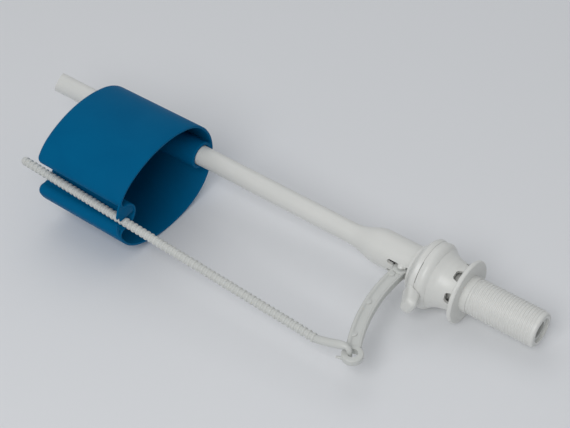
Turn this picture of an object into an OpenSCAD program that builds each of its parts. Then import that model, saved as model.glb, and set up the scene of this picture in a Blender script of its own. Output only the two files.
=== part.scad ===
// Bottom inlet float valve: a threaded tail, a diaphragm head and a float cup that slides on a riser.
// Origin at the centre of the flange's lower face, +Z up the riser, float rod at the front (-Y).
// Every piece is drawn with +X towards the float rod, then turned by front() so that the rod is at the front.

/* [Inlet tail] */
// Outer diameter of the tail, the crest of its G1/2 thread
tail_d = 20.955; // [19:0.005:23]
// Length of the tail below the flange
tail_l = 45; // [36:1:70]
// Diameter of the water way in the tail
tail_bore_d = 14.4; // [13:0.2:15.6]
// Chamfer at the end of the tail
tail_chamfer = 1.2; // [0.5:0.1:2]

/* [Flange and cage] */
// Diameter of the sealing flange
flange_d = 37; // [34:0.5:46]
// Thickness of the flange
flange_t = 2.5; // [2:0.1:4]
// Outer diameter of the cage
cage_d = 27.4; // [26.4:0.2:28.4]
// Height of the cage above the flange
cage_h = 7.5; // [6.5:0.5:10]
// Wall of the cage and the bell
shell_wall = 1.9; // [1.6:0.1:2.2]
// Number of outlet windows
window_count = 6; // [4:1:7]
// Width of an outlet window
window_w = 7.6; // [5:0.2:9]
// Height of an outlet window
window_h = 4.4; // [3.5:0.1:5.8]
// Direction of the first outlet window from the rod
window_turn = 15.4; // [0:0.1:60]

/* [Bell and seat] */
// Diameter of the rim of the bell
bell_d = 38.6; // [38:0.2:44]
// Height of the flared bell
bell_h = 11.8; // [10:0.2:16]
// Height of the plain band above the rim
band_h = 2; // [1.5:0.1:3]
// Diameter of the chamber that holds the diaphragm
chamber_d = 32.4; // [30:0.2:33]
// Wall of the collar round the chamber
collar_wall = 1; // [0.8:0.05:1.2]
// Height of the diaphragm ledge under the rim
ledge_drop = 1.6; // [1:0.1:2.5]
// Depth of the seat below the diaphragm ledge
seat_drop = 1.2; // [0.8:0.1:1.6]
// Bore of the valve seat
seat_bore_d = 9.2; // [7:0.2:10]
// Wall of the tube that carries the seat
seat_wall = 1.3; // [1.1:0.1:1.5]

/* [Diaphragm and pilot cap] */
// Height of the bead round the diaphragm
bead_h = 2.2; // [1.8:0.1:3]
// Width of the bead round the diaphragm
bead_w = 2; // [1.6:0.1:2.4]
// Thickness of the diaphragm's web
web_t = 0.8; // [0.6:0.1:1.2]
// Diameter of the diaphragm's middle disc
disc_d = 18; // [16:0.5:20]
// Thickness of the backing plate
plate_t = 1.2; // [0.8:0.1:1.4]
// Height of the pilot cap
cap_h = 4; // [3.6:0.1:5]
// Thickness of the pilot cap's top
cap_top_t = 1.6; // [1.4:0.1:1.8]
// Diameter of the pilot nozzle's tip
nozzle_d = 3; // [2.4:0.1:3.6]
// Bore of the pilot nozzle
nozzle_bore_d = 1; // [0.8:0.1:1.4]
// Section of the cap's O-ring
seal_section = 1.7; // [1.4:0.1:1.8]
// Diameter of the bleed pin
bleed_pin_d = 1; // [0.8:0.1:1.2]

/* [Bayonet and lock ring] */
// Largest diameter of the lock ring
ring_d = 39.2; // [38.6:0.2:42]
// Height of the lock ring
ring_h = 8.6; // [8:0.1:9]
// Number of bayonet lugs
bayonet_count = 4; // [3:1:4]
// Angle that each bayonet lug and tab covers
bayonet_span = 34; // [26:1:38]
// Height of a bayonet lug
bayonet_h = 1.4; // [1.2:0.1:1.6]
// Depth of a bayonet lug
bayonet_depth = 1.1; // [0.9:0.05:1.2]
// Width of the thumb lug
thumb_w = 10.4; // [8:0.2:13]
// Reach of the thumb lug from the middle of the ring
thumb_reach = 27.8; // [25:0.2:32]
// Length of the thumb lug below the ring
thumb_drop = 4.8; // [3:0.2:6]

/* [Riser] */
// Diameter of the bulb at the foot of the riser
bulb_d = 20.8; // [20:0.2:22]
// Offset of the bulb away from the rod
bulb_offset = 1.1; // [0:0.1:1.4]
// Height of the straight part of the bulb above the foot
bulb_h = 27.5; // [25:0.5:40]
// Height of the taper between the bulb and the tube
taper_h = 18; // [12:0.5:30]
// Outer diameter of the riser tube
riser_d = 12; // [11:0.1:13]
// Wall of the riser tube
riser_wall = 1.5; // [1.2:0.1:2]
// Height of the riser's tip above the flange
riser_top = 296; // [285:1:340]
// Slope of the cut across the riser's tip
tip_slope = 25; // [0:1:35]
// Thickness of the foot of the riser
foot_t = 2.2; // [1.8:0.1:2.6]

/* [Lever arm] */
// Distance of the pivot from the riser's axis
pivot_x = 8; // [7.6:0.1:8.4]
// Height of the pivot above the foot of the riser
pivot_h = 9.6; // [9.2:0.1:12]
// Diameter of the pivot pin
pivot_d = 2.8; // [2.2:0.1:3.2]
// Thickness of the arm, across its rims
arm_t = 6.2; // [5:0.1:6.6]
// Width of the arm, from rim to rim
arm_w = 8; // [6.5:0.1:9]
// Radius of the arm's middle line
arm_r = 107; // [80:1:200]
// Thickness of the arm's web
web_arm_t = 4.4; // [1.6:0.1:4.6]
// Width of the arm's outer rim
outer_rim_w = 2; // [1.2:0.1:2.4]
// Width of the arm's inner rim
inner_rim_w = 1.4; // [1:0.1:1.8]
// Number of round bosses on the outer rim
boss_count = 3; // [0:1:5]
// Diameter of a boss on the outer rim
boss_d = 3.6; // [2.6:0.1:4]
// Distance of the eye from the riser's axis
eye_x = 72.8; // [66:0.1:80]
// Height of the eye below the pivot
eye_fall = 13.5; // [8:0.5:20]
// Outer diameter of the eye
eye_d = 11.8; // [10.8:0.2:14]
// Hole of the eye
eye_hole_d = 5.8; // [5.6:0.1:6.4]
// Thickness of the eye
eye_t = 4; // [3:0.1:5]
// Lift of the rod from open to closed
rod_lift = 9; // [5:0.5:9]
// Diameter of the pilot seal
pilot_seal_d = 5; // [4:0.1:5.4]

/* [Ratchet rod] */
// Diameter of the rod's rings
ring_rod_d = 5.4; // [5:0.1:5.8]
// Diameter of the rod between its rings
root_rod_d = 4.4; // [3.6:0.1:4.6]
// Spacing of the rings
ring_pitch = 3.2; // [3:0.05:3.6]
// Number of rings
ring_count = 68; // [64:1:75]
// Height of the first ring above the flange
first_ring_z = 47.1; // [44:0.1:52]
// Lean of the rod towards the riser
rod_lean = 2.6; // [2:0.1:2.8]
// Diameter of the hook in the eye
hook_d = 3.2; // [2.6:0.1:3.4]

/* [Float cup] */
// Gap between the rod's rings that holds the clip, counted from the hook
clip_gap = 42; // [38:1:50]
// Height of the float
float_h = 64; // [50:1:75]
// Distance of the float's back from the riser's axis
float_back = 10; // [9.4:0.1:12]
// Distance of the float's front from the riser's axis
float_front = 75.5; // [74:0.5:80]
// Radius of the float's back
back_r = 31; // [28:0.5:34]
// Radius of the float's front
front_r = 28.5; // [25:0.5:31]
// Radius of the float's sides
side_r = 63.5; // [50:0.5:90]
// Wall of the float
float_wall = 1.5; // [1.2:0.1:2]
// Rounding of the float's closed end
float_round = 3; // [2:0.1:4]
// Thickness of the float's closed end
lid_t = 2; // [1.6:0.1:3]
// How far the float narrows towards its closed end, on each side
float_draft = 0.5; // [0.2:0.1:0.8]
// Radius of the groove for the rod
groove_r = 7; // [6.8:0.1:7.6]
// Distance of the groove's middle from the riser's axis
groove_x = 67.6; // [67.4:0.1:68]
// Offset of the groove's middle to the side of the eye's barb
groove_y = 2.8; // [2.2:0.1:3]
// Radius of the lips of the groove
lip_r = 4.5; // [3.6:0.1:5]
// Wall of the sleeve on the riser
sleeve_wall = 2.1; // [1.6:0.1:2.6]
// Play of the sleeve on the riser, on each side
sleeve_play = 0.35; // [0.3:0.05:0.6]
// Thickness of the clip plate between two rings
clip_t = 1; // [0.9:0.05:1.1]
// Width of the strap that closes the clip
strap_w = 1.35; // [1:0.05:1.6]
// Height of the mouth between the strap and the clip plate
mouth_h = 2.9; // [2.4:0.1:3.2]

/* [Strainer and restrictor] */
// Length of the strainer
filter_l = 24; // [18:1:26]
// Depth of the strainer's rim inside the tail
filter_inset = 1.5; // [1:0.5:5]
// Wall of the strainer
filter_wall = 1; // [0.8:0.1:1.4]
// Thickness of the flow restrictor
restrictor_t = 3; // [2:0.2:4]
// Hole in the middle of the flow restrictor
restrictor_hole_d = 5; // [3:0.2:6]

/* [Hidden] */
$fn = 96;
white = [0.93, 0.93, 0.9];
milky = [0.86, 0.87, 0.85];
blue = [0.05, 0.36, 0.62];
rubber = [0.12, 0.12, 0.13];

// Clearances: touching fits, running fits and gaps between pieces that move
seat_gap = 0.05;
run_gap = 0.06;
turn_gap = 0.1;
free_gap = 0.3;
cut = 1;

// Heights of the head, from the flange up
tail_r = tail_d / 2;
bore_r = tail_bore_d / 2;
cage_r = cage_d / 2;
cage_top = flange_t + cage_h;
bell_r = bell_d / 2;
bell_top = cage_top + bell_h;
band_top = bell_top + band_h;
chamber_r = chamber_d / 2;
collar_r = chamber_r + collar_wall;
ledge_z = bell_top - ledge_drop;
seat_z = ledge_z - seat_drop;
bead_top = ledge_z + bead_h;
cap_top = bead_top + cap_h;
foot_top = cap_top + foot_t;
collar_top = cap_top + foot_t / 2;
ledge_in_r = chamber_r - bead_w;
seat_tube_r = bore_r + seat_wall;
flare_steps = 12;
edge_r = 0.5;

// Diaphragm
disc_bottom = seat_z + seat_gap;
disc_top = ledge_z + bead_h / 2 + web_t / 2;
bleed_x = disc_d / 4 + seat_bore_d / 4 + 0.7;

// Bayonet
lug_r = collar_r + bayonet_depth;
lug_bottom = collar_top - bayonet_h;
tab_top = lug_bottom - 2 * turn_gap;
ring_bottom = band_top + 2 * turn_gap;
ring_top = ring_bottom + ring_h;
ring_bore_r = lug_r + turn_gap;
ring_r = ring_d / 2;
tab_r = collar_r + turn_gap;

// Riser and lever
bulb_r = bulb_d / 2;
bulb_top = foot_top + bulb_h;
taper_top = bulb_top + taper_h;
riser_r = riser_d / 2;
taper_step = 0.15;
riser_bore_r = riser_r - riser_wall;
pilot_room_r = bulb_r - 2;
window_half = arm_t / 2 + 1.5;
pivot_z = foot_top + pivot_h;
ear_r = 3.1;
ear_in = arm_t / 2 + free_gap;
ear_out = 7.2;
eye_z = pivot_z - eye_fall;
eye_r = eye_d / 2;
hub_r = arm_w / 2 + 0.4;
swing = rod_lift / (eye_x - pivot_x) * 180 / PI;

// Middle line of the arm: an arc of radius arm_r through the pivot and the eye
arm_chord = norm([eye_x - pivot_x, eye_fall]);
arm_tilt = atan2(-eye_fall, eye_x - pivot_x);
arm_depth = sqrt(arm_r * arm_r - arm_chord * arm_chord / 4);
arm_cx = (pivot_x + eye_x) / 2 + arm_depth * sin(arm_tilt);
arm_cz = pivot_z - eye_fall / 2 - arm_depth * cos(arm_tilt);
arm_from = atan2(eye_z - arm_cz, eye_x - arm_cx) + 2.4;
arm_to = atan2(pivot_z - arm_cz, pivot_x - arm_cx);

// Pilot lever: the seal stands this far above the nozzle while the valve is open
pilot_travel = pivot_x * tan(swing);
pilot_gap = pilot_travel + pilot_seal_d / 2 * tan(swing) + seat_gap;
seal_t = 1.6;
seal_z = pivot_z - 3.6;
nozzle_top = seal_z - pilot_gap;
holder_r = pilot_seal_d / 2 + 0.7;

// Rod: it hangs by its hook in the eye and leans towards the riser
root_r = root_rod_d / 2;
ring_rod_r = ring_rod_d / 2;
hook_r = hook_d / 2;
hook_x = eye_x + 0.6;
hook_z = eye_z + 0.6;
knee_y = eye_t / 2 + free_gap + root_rod_d / 2 + 0.6;
rod_foot_x = hook_x + 1.4;
tooth_root = ring_pitch * 0.58;
tooth_crest = ring_pitch * 0.34;
rod_l = ring_count * ring_pitch;

// Float outline: four arcs, each tangent to the next
back_cx = back_r - float_back;
front_cx = float_front - front_r;
between = front_cx - back_cx;
side_cx = back_cx + (between ^ 2 + (side_r - back_r) ^ 2 - (side_r - front_r) ^ 2) / (2 * between);
side_cy = sqrt((side_r - back_r) ^ 2 - (side_cx - back_cx) ^ 2);
back_turn = atan2(side_cy, back_cx - side_cx);
front_turn = atan2(side_cy, front_cx - side_cx);
clip_mid = clip_gap * ring_pitch + (tooth_root + ring_pitch) / 2;
clip_z = first_ring_z + clip_mid * cos(rod_lean) - clip_t / 2;
lip_reach = front_r - lip_r;
groove_reach = norm([groove_x - front_cx, groove_y]);
groove_aim = atan2(groove_y, groove_x - front_cx);
lip_open = acos((lip_reach ^ 2 + groove_reach ^ 2 - (lip_r + groove_r) ^ 2) / (2 * lip_reach * groove_reach));
low_turn = groove_aim - lip_open;
high_turn = groove_aim + lip_open;
low_lip = [front_cx + lip_reach * cos(low_turn), lip_reach * sin(low_turn)];
high_lip = [front_cx + lip_reach * cos(high_turn), lip_reach * sin(high_turn)];
low_aim = atan2(groove_y - low_lip[1], groove_x - low_lip[0]);
high_aim = atan2(groove_y - high_lip[1], groove_x - high_lip[0]);
float_z = clip_z - 0.3;
float_top = float_z + float_h;
shell_top = float_top - float_round;
sleeve_r = riser_r + sleeve_play + sleeve_wall;
rod_x_at_clip = rod_x(clip_z);
level_travel = 6 * ring_pitch * cos(rod_lean);

function rod_x(z) = rod_foot_x - (z - first_ring_z) * tan(rod_lean);
function ease(t) = t * t * (3 - 2 * t);
function flare_r(z) = cage_r + (bell_r - cage_r) * ease((z - cage_top) / bell_h);
function ring_of(r, z, shift, n = 40) = [for (i = [0 : n - 1]) [shift + r * cos(i * 360 / n), r * sin(i * 360 / n), z]];

// Turns a piece from the drawing frame to the part's own frame
module front() {
    rotate([0, 0, -90]) children();
}

// Skin through a stack of rings that have equal numbers of points
module loft(rings) {
    n = len(rings[0]);
    last = len(rings) - 1;
    points = [for (ring = rings) each ring];
    sides = [for (k = [0 : last - 1], i = [0 : n - 1])
        each [[k * n + i, (k + 1) * n + i, k * n + (i + 1) % n],
              [k * n + (i + 1) % n, (k + 1) * n + i, (k + 1) * n + (i + 1) % n]]];
    bottom = [for (i = [0 : n - 1]) i];
    top = [for (i = [n - 1 : -1 : 0]) last * n + i];
    polyhedron(points, concat(sides, [bottom], [top]), convexity = 4);
}

// Cylinder along Y, centred on a point
module cross_pin(r, length, x, y, z) {
    translate([x, y + length / 2, z]) rotate([90, 0, 0]) cylinder(r = r, h = length);
}

module tube(r_out, r_in, z0, z1) {
    translate([0, 0, z0]) difference() {
        cylinder(r = r_out, h = z1 - z0);
        translate([0, 0, -cut]) cylinder(r = r_in, h = z1 - z0 + 2 * cut);
    }
}

// Equal tabs round a ring, each as wide as the bayonet span
module bayonet_tabs(r_in, r_out, z0, z1, turn) {
    for (i = [0 : bayonet_count - 1])
        rotate([0, 0, turn + i * 360 / bayonet_count - bayonet_span / 2])
            rotate_extrude(angle = bayonet_span)
                translate([r_in, z0]) square([r_out - r_in, z1 - z0]);
}

module valve_body() {
    front() color(white) {
        difference() {
            union() {
                rotate_extrude() body_outline();
                bayonet_tabs(collar_r - seat_gap, lug_r, lug_bottom, collar_top, 0);
            }
            rotate_extrude() body_hollow();
            outlet_windows();
        }
        seat_tube();
        gate_mark();
    }
}

// Half section of the body's outside, from the end of the tail to the top of the collar
module body_outline() {
    polygon(concat(
        [[0, -tail_l], [tail_r - tail_chamfer, -tail_l], [tail_r, -tail_l + tail_chamfer], [tail_r, 0],
         [flange_d / 2 - edge_r, 0], [flange_d / 2, edge_r], [flange_d / 2, flange_t - edge_r],
         [flange_d / 2 - edge_r, flange_t], [cage_r + 1.1, flange_t], [cage_r, flange_t + 1.3]],
        [for (i = [0 : flare_steps]) let (z = cage_top + bell_h * i / flare_steps) [flare_r(z), z]],
        [[bell_r - edge_r / 2, band_top], [collar_r, band_top], [collar_r, collar_top], [0, collar_top]]));
}

// Half section of the body's inside: water way, outlet room and diaphragm chamber
module body_hollow() {
    room_floor = flange_t + 0.4;
    polygon([[0, -tail_l - cut], [bore_r, -tail_l - cut], [bore_r, room_floor],
             [seat_tube_r - seat_gap, room_floor], [cage_r - shell_wall, room_floor],
             [cage_r - shell_wall, cage_top + bell_h / 4], [ledge_in_r - 0.4, cage_top + bell_h / 2],
             [ledge_in_r, ledge_z - seat_drop], [ledge_in_r, ledge_z], [chamber_r, ledge_z],
             [chamber_r, collar_top + cut], [0, collar_top + cut]]);
}

module outlet_windows() {
    for (i = [0 : window_count - 1])
        rotate([0, 0, window_turn + i * 360 / window_count])
            translate([seat_tube_r, 0, flange_t + 0.5]) rotate([90, 0, 90])
                linear_extrude(height = cage_r)
                    polygon([[-window_w / 2, 0.4], [-window_w / 2 + 0.8, 0], [window_w / 2 - 0.8, 0],
                             [window_w / 2, 0.4], [window_w / 2 - 0.9, window_h - 0.8],
                             [window_w / 2 - 1.8, window_h], [-window_w / 2 + 1.8, window_h],
                             [-window_w / 2 + 0.9, window_h - 0.8]]);
}

// Tube in the middle of the outlet room, with the rounded lip of the seat on top
module seat_tube() {
    lip_r = seat_bore_d / 2;
    neck_z = seat_z - 5;
    rotate_extrude()
        polygon([[bore_r, 0.2], [seat_tube_r, 0.2], [seat_tube_r, neck_z], [lip_r + 1.9, seat_z - 0.5],
                 [lip_r + 1.4, seat_z], [lip_r + 0.4, seat_z], [lip_r, seat_z - 0.5], [lip_r, neck_z + 1.5],
                 [bore_r, neck_z - 1.5]]);
}

// Small moulding mark on the edge of the flange
module gate_mark() {
    rotate([0, 0, window_turn + 180 / window_count])
        translate([flange_d / 2 - 0.6, -1.4, 0.6]) cube([0.9, 2.8, flange_t - 1.2]);
}

module inlet_filter() {
    rim_z = -tail_l + filter_inset;
    body_r = bore_r - 1.4;
    slot_step = (filter_l - 4) / 3;
    front() color(milky) difference() {
        union() {
            translate([0, 0, rim_z]) cylinder(r = bore_r - seat_gap, h = 2);
            translate([0, 0, rim_z]) cylinder(r = body_r, h = filter_l);
        }
        translate([0, 0, rim_z - cut]) cylinder(r = body_r - filter_wall, h = filter_l - filter_wall + cut);
        for (i = [0 : 7], row = [0 : 2])
            rotate([0, 0, i * 45])
                translate([0, -0.8, rim_z + 3 + row * slot_step]) cube([bore_r, 1.6, slot_step - 1.6]);
    }
}

module flow_restrictor() {
    base_z = -tail_l + filter_inset + filter_l + 3;
    ring_hole_x = (bore_r + restrictor_hole_d / 2) / 2;
    front() color(blue) difference() {
        translate([0, 0, base_z]) cylinder(r = bore_r - seat_gap, h = restrictor_t);
        translate([0, 0, base_z - cut]) cylinder(d = restrictor_hole_d, h = restrictor_t + 2 * cut);
        for (i = [0 : 5])
            rotate([0, 0, i * 60])
                translate([ring_hole_x, 0, base_z - cut]) cylinder(d = 1.8, h = restrictor_t + 2 * cut);
    }
}

module diaphragm() {
    web_z = ledge_z + bead_h / 2 - web_t / 2;
    bead_r = chamber_r - seat_gap;
    front() color(rubber) difference() {
        rotate_extrude()
            polygon([[0, disc_bottom], [disc_d / 2 - 0.6, disc_bottom], [disc_d / 2, web_z],
                     [ledge_in_r + seat_gap, web_z], [ledge_in_r + seat_gap, ledge_z], [bead_r, ledge_z],
                     [bead_r, bead_top], [ledge_in_r + seat_gap, bead_top],
                     [ledge_in_r + seat_gap, web_z + web_t], [0, web_z + web_t]]);
        translate([-bleed_x, 0, seat_z - cut]) cylinder(d = bleed_pin_d + 0.6, h = bead_h + seat_drop + 2 * cut);
    }
}

module diaphragm_plate() {
    boss_h = 0.45;
    front() color(white) difference() {
        union() {
            translate([0, 0, disc_top + seat_gap]) cylinder(r = disc_d / 2 - 0.6, h = plate_t);
            translate([0, 0, disc_top + seat_gap]) cylinder(r = disc_d / 5, h = plate_t + boss_h);
        }
        translate([-bleed_x, 0, disc_top - cut]) cylinder(d = bleed_pin_d + 0.6, h = plate_t + 2 * cut);
    }
}

module pilot_cap() {
    cap_r = chamber_r - turn_gap;
    groove_z = bead_top + 0.9;
    groove_r = cap_r - seal_section;
    skirt_r = ledge_in_r - 1.2;
    front() color(white) {
        difference() {
            union() {
                translate([0, 0, bead_top]) cylinder(r = cap_r, h = cap_h);
                translate([0, 0, cap_top - seat_gap])
                    cylinder(r1 = nozzle_d, r2 = nozzle_d / 2, h = nozzle_top - cap_top + seat_gap);
            }
            translate([0, 0, bead_top - cut]) cylinder(r = skirt_r, h = cap_h - cap_top_t + cut);
            translate([0, 0, bead_top]) cylinder(d = nozzle_bore_d, h = nozzle_top);
            tube(cap_r + cut, groove_r, groove_z, groove_z + seal_section + 0.1);
        }
        translate([-bleed_x, 0, seat_z + 1]) cylinder(d = bleed_pin_d, h = cap_top - cap_top_t + 0.2 - seat_z - 1);
    }
}

module cap_seal() {
    section_r = seal_section / 2;
    middle_r = chamber_r - seat_gap / 2 - section_r;
    front() color(rubber)
        rotate_extrude()
            translate([middle_r, bead_top + 0.95 + section_r]) circle(r = section_r - 0.02, $fn = 32);
}

// Rings of the bulb: straight, then eased in to the tube and back on to its axis
function bulb_rings(from_z) = concat(
    [ring_of(bulb_r, from_z, -bulb_offset)],
    [for (i = [0 : 9]) let (t = i / 9, z = bulb_top + taper_h * t, k = ease(t))
        ring_of(bulb_r + (riser_r + taper_step - bulb_r) * k, z, -bulb_offset * (1 - k))]);

module riser() {
    foot_r = chamber_r - turn_gap;
    front() color(white) difference() {
        union() {
            translate([0, 0, cap_top]) cylinder(r = foot_r, h = foot_t);
            loft(bulb_rings(foot_top - foot_t / 2));
            translate([0, 0, taper_top - 3]) cylinder(r = riser_r, h = riser_top - taper_top + riser_d);
        }
        translate([-bulb_offset, 0, cap_top - cut]) cylinder(r = pilot_room_r, h = bulb_top - cap_top);
        translate([0, 0, bulb_top - cut - seat_gap])
            cylinder(r1 = pilot_room_r - bulb_offset - 0.3, r2 = riser_bore_r, h = taper_h / 2);
        translate([0, 0, bulb_top]) cylinder(r = riser_bore_r, h = riser_top);
        lever_window();
        cross_pin(pivot_d / 2 + seat_gap / 2, 4 * ear_out, pivot_x, 0, pivot_z);
        tip_cut();
    }
    front() color(white) pivot_ears();
}

// Opening in the bulb for the root of the lever arm, with a short slot upwards at each side
module lever_window() {
    window_bottom = ring_top + 0.6;
    window_top = pivot_z + 5.4;
    slot_r = 1.25;
    slot_h = 2.1;
    translate([0, -window_half, window_bottom]) cube([bulb_d, 2 * window_half, window_top - window_bottom]);
    for (side = [-1, 1])
        translate([0, side * (window_half - slot_r), window_top]) {
            translate([0, -slot_r, -cut]) cube([bulb_d, 2 * slot_r, slot_h + cut]);
            translate([0, 0, slot_h]) rotate([0, 90, 0]) cylinder(r = slot_r, h = bulb_d);
        }
}

// Ears inside the bulb, one at each side of the arm
module pivot_ears() {
    for (side = [-1, 1])
        difference() {
            cross_pin(ear_r, ear_out - ear_in, pivot_x, side * (ear_in + ear_out) / 2, pivot_z);
            cross_pin(pivot_d / 2 + seat_gap / 2, 4 * ear_out, pivot_x, 0, pivot_z);
        }
}

// Slanted cut at the riser's tip, longer on the side of the table
module tip_cut() {
    translate([0, 0, riser_top]) rotate([0, 0, 51]) rotate([0, tip_slope, 0])
        translate([-2 * riser_d, -2 * riser_d, 0]) cube([4 * riser_d, 4 * riser_d, 2 * riser_d]);
}

module lock_ring() {
    front() color(white) {
        difference() {
            union() {
                rotate_extrude() ring_outline();
                thumb_lug();
            }
            translate([0, 0, ring_bottom - cut - thumb_drop])
                cylinder(r = ring_bore_r, h = foot_top + turn_gap - ring_bottom + cut + thumb_drop);
            translate([0, 0, ring_bottom]) cylinder(r = bulb_r + bulb_offset + free_gap, h = ring_h + cut);
        }
        bayonet_tabs(tab_r, ring_bore_r + seat_gap, tab_top - 1.1, tab_top, 0);
    }
}

// Half section of the lock ring's outside: a swelling skirt, a stepped dome and a short neck
module ring_outline() {
    neck_r = bulb_r + bulb_offset + free_gap + 1.3;
    polygon([[0, ring_bottom], [ring_r - 0.5, ring_bottom], [ring_r - 0.1, ring_bottom + 0.8],
             [ring_r, ring_bottom + 1.8], [ring_r - 0.3, ring_bottom + 3.2], [ring_r - 1, ring_bottom + 4.6],
             [ring_r - 1.8, ring_bottom + 5.4], [ring_r - 3, ring_bottom + 6], [ring_r - 3.2, ring_bottom + 6.6],
             [neck_r + 1.4, ring_top - 1.4], [neck_r, ring_top - 0.9], [neck_r, ring_top - 0.3],
             [neck_r - 0.3, ring_top], [0, ring_top]]);
}

// Thumb lug: it stands out of the skirt and hangs outside the rim of the bell
module thumb_lug() {
    skirt_r = bell_r + 4 * turn_gap;
    lug_low = ring_bottom - thumb_drop;
    lug_high = ring_bottom + 6;
    lug_h = lug_high - lug_low + 2 * cut;
    corner = 3.8;
    intersection() {
        translate([0, thumb_w / 2, 0]) rotate([90, 0, 0]) linear_extrude(height = thumb_w)
            polygon([[ring_r - 4, ring_bottom], [ring_r - 4, lug_high], [ring_r - 1.6, lug_high - 0.3],
                     [ring_r + 1.4, lug_high - 1.5], [thumb_reach - 3.2, lug_high - 3],
                     [thumb_reach - 1.6, lug_high - 4.2], [thumb_reach - 0.6, lug_high - 5.8],
                     [thumb_reach, lug_low + 2.6], [thumb_reach - 0.5, lug_low + 0.9],
                     [thumb_reach - 1.8, lug_low], [skirt_r + 1.4, lug_low + 0.2], [skirt_r + 0.3, lug_low + 1.2],
                     [skirt_r, ring_bottom]]);
        translate([0, 0, lug_low - cut]) union() {
            translate([0, -thumb_w / 2, 0]) cube([thumb_reach - corner, thumb_w, lug_h]);
            translate([0, -thumb_w / 2 + corner, 0]) cube([thumb_reach, thumb_w - 2 * corner, lug_h]);
            for (side = [-1, 1])
                translate([thumb_reach - corner, side * (thumb_w / 2 - corner), 0]) cylinder(r = corner, h = lug_h);
        }
    }
}

module pivot_pin() {
    front() color(milky) cross_pin(pivot_d / 2, 2 * ear_out - 0.6, pivot_x, 0, pivot_z);
}

module lever_arm() {
    front() color(milky) difference() {
        union() {
            translate([arm_cx, 0, arm_cz]) rotate([90, 0, 0]) rotate([0, 0, arm_from])
                rotate_extrude(angle = arm_to - arm_from) arm_section();
            arm_bosses();
            cross_pin(hub_r, arm_t, pivot_x, 0, pivot_z);
            cross_pin(eye_r, eye_t, eye_x, 0, eye_z);
            pilot_lever();
        }
        cross_pin(eye_hole_d / 2, eye_t + 2 * cut, eye_x, 0, eye_z);
        cross_pin(pivot_d / 2 + run_gap, arm_t + 2 * cut, pivot_x, 0, pivot_z);
        translate([0, 0, seal_z - cut]) cylinder(r = pilot_seal_d / 2 + seat_gap, h = seal_t + cut);
    }
}

// Section of the arm: a web between a broad outer rim and a thin inner rim
module arm_section() {
    inner = arm_r - arm_w / 2;
    outer = arm_r + arm_w / 2;
    translate([outer - outer_rim_w, -arm_t / 2]) square([outer_rim_w, arm_t]);
    translate([inner, -arm_t / 2]) square([inner_rim_w, arm_t]);
    web_w = arm_w - (inner_rim_w + outer_rim_w) / 2;
    translate([inner + inner_rim_w / 2, -web_arm_t / 2]) square([web_w, web_arm_t]);
}

module arm_bosses() {
    boss_at = arm_r + arm_w / 2 - outer_rim_w - boss_d / 4 + 0.4;
    for (i = [0 : 1 : boss_count - 1])
        let (a = arm_to - 3.4 - i * (arm_to - arm_from - 8) / max(boss_count - 1, 1))
            cross_pin(boss_d / 2, arm_t - 0.3, arm_cx + boss_at * cos(a), 0, arm_cz + boss_at * sin(a));
}

// Inner end of the arm: a short lever with the holder of the pilot seal
module pilot_lever() {
    lever_top = seal_z + seal_t + 2;
    translate([-1, -arm_t / 2 + 0.6, seal_z + seal_t - 0.2])
        cube([pivot_x, arm_t - 1.2, lever_top - seal_z - seal_t + 0.2]);
    translate([0, 0, seal_z + 0.4]) cylinder(r = holder_r, h = lever_top - seal_z - 0.4);
}

module pilot_seal() {
    front() color(rubber) translate([0, 0, seal_z]) cylinder(d = pilot_seal_d, h = seal_t - seat_gap);
}

module ratchet_rod() {
    front() color(milky) {
        translate([rod_foot_x, 0, first_ring_z]) rotate([0, -rod_lean, 0]) {
            rotate_extrude() rod_outline();
            translate([0, 0, -2]) cylinder(r1 = root_r * 0.75, r2 = root_r, h = 2.1);
        }
        rod_neck();
    }
}

// Half section of the rod: one tooth for each ring, and a rounded tip
module rod_outline() {
    polygon(concat(
        [[0, 0]],
        [for (i = [0 : ring_count - 1]) let (z = i * ring_pitch)
            each [[root_r, z], [ring_rod_r, z + (tooth_root - tooth_crest) / 2],
                  [ring_rod_r, z + (tooth_root + tooth_crest) / 2], [root_r, z + tooth_root]]],
        [[root_r, rod_l - 0.6], [root_r - 0.6, rod_l], [0, rod_l]]));
}

// Neck that bends clear of the eye, the hook through it and the barb that holds it there
module rod_neck() {
    neck_r = root_r + 0.3;
    bend_z = hook_z + 4.5;
    barb_y = -eye_t / 2 - free_gap - hook_r * 0.8;
    hull() {
        translate([rod_foot_x, 0, first_ring_z - 0.8]) sphere(r = root_r, $fn = 24);
        translate([hook_x, knee_y, bend_z]) sphere(r = neck_r, $fn = 24);
    }
    hull() {
        translate([hook_x, knee_y, bend_z]) sphere(r = neck_r, $fn = 24);
        translate([hook_x, knee_y, hook_z]) sphere(r = hook_r, $fn = 24);
    }
    cross_pin(hook_r, knee_y - barb_y, hook_x, (knee_y + barb_y) / 2, hook_z);
    hull() {
        translate([hook_x, barb_y, hook_z]) sphere(r = hook_r * 0.8, $fn = 24);
        translate([hook_x + 2.6, barb_y, hook_z + 6.4]) sphere(r = hook_r * 0.5, $fn = 24);
    }
}

module float_cup() {
    front() color(blue) {
        difference() {
            union() {
                cup_shell();
                cup_sleeve();
            }
            translate([0, 0, float_z - cut]) cylinder(r = riser_r + sleeve_play, h = float_h + 2 * cut);
        }
        clip_plate();
    }
}

function arc_points(centre, r, a0, a1, n) =
    [for (i = [0 : n - 1]) let (a = a0 + (a1 - a0) * i / n) centre + r * [cos(a), sin(a)]];

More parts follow.
